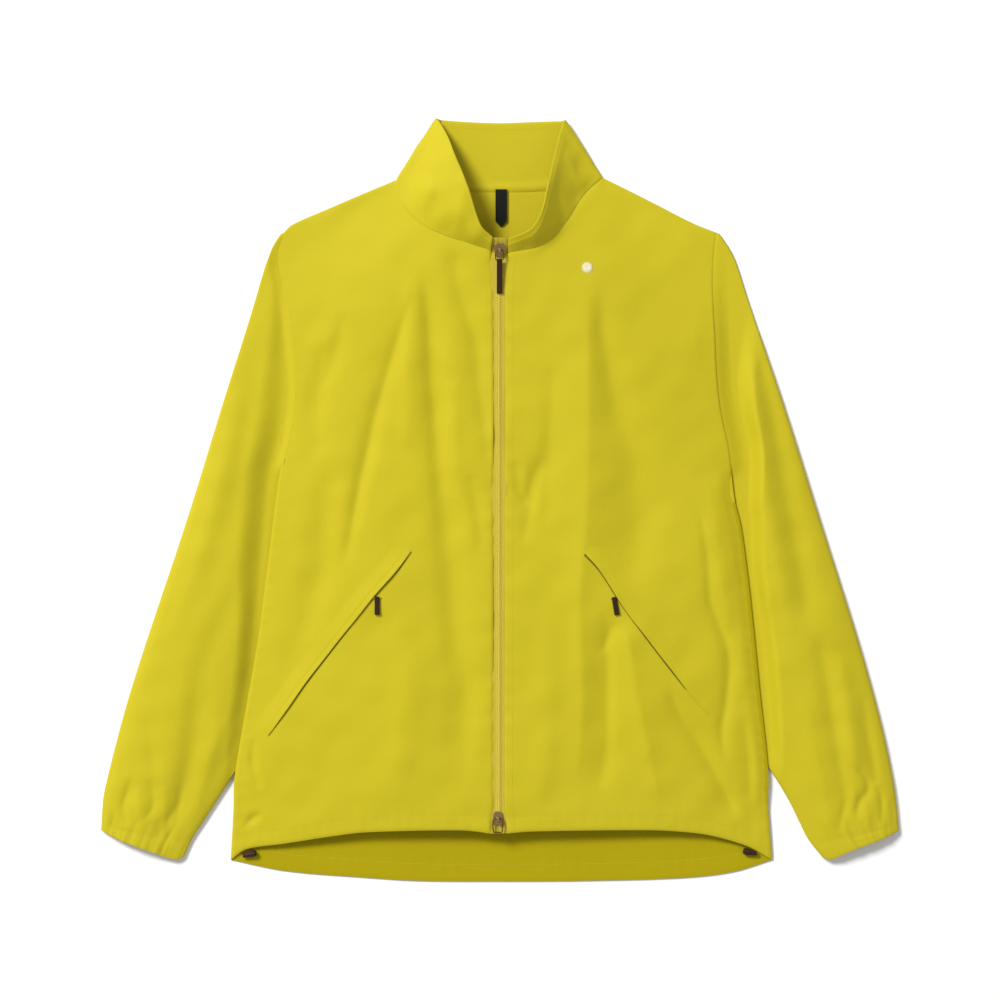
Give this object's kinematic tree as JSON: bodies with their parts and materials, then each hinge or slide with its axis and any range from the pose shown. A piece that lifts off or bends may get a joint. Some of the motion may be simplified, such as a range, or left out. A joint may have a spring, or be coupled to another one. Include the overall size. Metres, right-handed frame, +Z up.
{
  "type": "windbreaker jacket",
  "caption": "Zip-front windbreaker jacket laid flat, with a stand collar, slanted zip pockets, gathered cuffs and a drop-back hem.",
  "frame": {"origin": "under the middle of the jacket's outline, on the surface that it lies on", "axes": "+X to the wearer's left across both sleeves, +Y towards the collar, +Z up from the surface"},
  "size_m": [0.8, 0.765, 0.0405],
  "materials": {
    "cloth": "matt light nylon with a slight sheen",
    "zip_tape": "woven tape",
    "loop_tape": "ribbed near-black tape",
    "zip_metal": "antique brass",
    "pull_cord": "dark brown moulded cord",
    "toggle": "dark brown moulded plastic"
  },
  "bodies": {
    "jacket": {"back": "cloth", "front_right": "cloth", "front_left": "cloth", "sleeve_right": "cloth", "sleeve_left": "cloth", "collar": "cloth", "pocket_welt_right": "cloth", "pocket_welt_left": "cloth", "hanger_loop": "loop_tape", "zip_tape_right": "zip_tape", "zip_tape_left": "zip_tape", "zip_slider_top": "zip_metal", "zip_slider_bottom": "zip_metal", "pocket_slider_right": "pull_cord", "pocket_slider_left": "pull_cord", "hem_toggle_right": "toggle", "hem_toggle_left": "toggle"},
    "top_pull": {"zip_link_top": "zip_metal", "zip_tab_top": "pull_cord"},
    "bottom_pull": {"zip_pull_bottom": "zip_metal"},
    "right_pocket_pull": {"pocket_pull_right": "pull_cord"},
    "left_pocket_pull": {"pocket_pull_left": "pull_cord"}
  },
  "joints": [
    {"name": "top_pull_hinge", "type": "hinge", "parent": "jacket", "child": "top_pull", "pos_m": [-0.0005, 0.24835, 0.02786], "axis": [-1, 0, 0], "range_deg": [0, 150]},
    {"name": "bottom_pull_hinge", "type": "hinge", "parent": "jacket", "child": "bottom_pull", "pos_m": [-0.0022, -0.318, 0.02071], "axis": [-1, 0, 0], "range_deg": [0, 150]},
    {"name": "right_pocket_hinge", "type": "hinge", "parent": "jacket", "child": "right_pocket_pull", "pos_m": [-0.1225, -0.0975, 0.02173], "axis": [-1, 0, 0], "range_deg": [0, 90]},
    {"name": "left_pocket_hinge", "type": "hinge", "parent": "jacket", "child": "left_pocket_pull", "pos_m": [0.114, -0.0979, 0.0209], "axis": [-0.9866, -0.1633, 0], "range_deg": [0, 90]}
  ]
}
